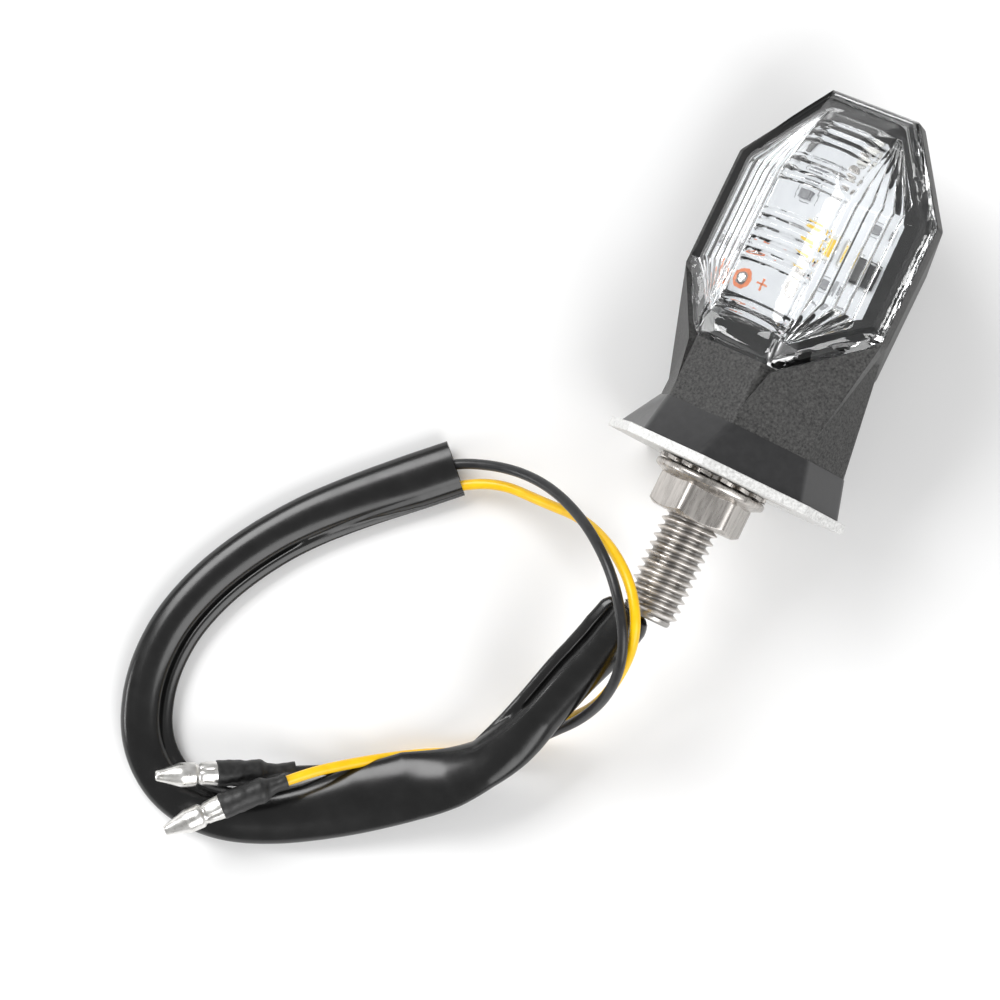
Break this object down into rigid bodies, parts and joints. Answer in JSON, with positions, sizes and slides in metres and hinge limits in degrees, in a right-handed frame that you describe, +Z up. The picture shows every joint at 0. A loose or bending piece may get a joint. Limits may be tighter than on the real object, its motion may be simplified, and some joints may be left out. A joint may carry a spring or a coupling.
{
  "type": "turn signal indicator",
  "caption": "Motorcycle turn signal with a faceted clear lens on a black head and stalk, a flared base, a hollow threaded stud with nut, and a sleeved wire lead with bullet terminals.",
  "frame": {"origin": "on the stud's axis, in the plane of the base plate's bearing face", "axes": "-Y along the stud to its free end, +Y towards the head's tip, +Z up from the surface it lies on; the lens faces +Z leaning 38 degrees towards -X"},
  "size_m": [0.0791, 0.1309, 0.0314],
  "materials": {
    "abs_black": "fine-grained matte moulding",
    "clear_lens": "clear polished polycarbonate, fluted inside",
    "seal_black": "matte",
    "board_white": "white solder mask, satin",
    "led_yellow": "yellow phosphor, satin",
    "chip_grey": "ceramic, satin",
    "chip_black": "epoxy, matte",
    "solder": "bright solder",
    "steel_bright": "plated, bright with fine machining marks",
    "skirt_black": "smooth satin gloss",
    "plate_silver": "plated, fine satin speckle",
    "sleeve_black": "glossy soft PVC",
    "wire_black": "satin PVC insulation",
    "wire_yellow": "satin PVC insulation",
    "shrink_black": "matte shrink tube",
    "tin_bright": "bright tin plate"
  },
  "bodies": {
    "root": {"housing": "abs_black", "lens": "clear_lens", "lens_gasket": "seal_black", "circuit_board": "board_white", "leds": "led_yellow", "resistors": "chip_grey", "diode": "chip_black", "solder_joints": "solder", "board_screws": "steel_bright", "base_skirt": "skirt_black", "base_plate": "plate_silver", "plate_screws": "steel_bright", "stud": "steel_bright", "wire_grommet": "seal_black", "black_inner_lead": "wire_black", "yellow_inner_lead": "wire_yellow", "pvc_sleeve": "sleeve_black", "black_wire": "wire_black", "yellow_wire": "wire_yellow", "black_heat_shrink": "shrink_black", "yellow_heat_shrink": "shrink_black", "black_bullet_terminal": "tin_bright", "yellow_bullet_terminal": "tin_bright"},
    "lock_washer": {"lock_washer": "steel_bright"},
    "flange_nut": {"flange_nut": "steel_bright"}
  },
  "joints": [
    {"name": "washer_slide", "type": "slide", "parent": "root", "child": "lock_washer", "axis": [0, -1, 0], "range_m": [0, 0.0125]},
    {"name": "nut_spin", "type": "hinge", "parent": "lock_washer", "child": "flange_nut", "pos_m": [0, 0, 0], "axis": [0, -1, 0], "range_deg": [0, 3600]}
  ],
  "couplings": [
    {"joint": "nut_spin", "follows": "washer_slide", "rad_per_m": 5026.5}
  ]
}
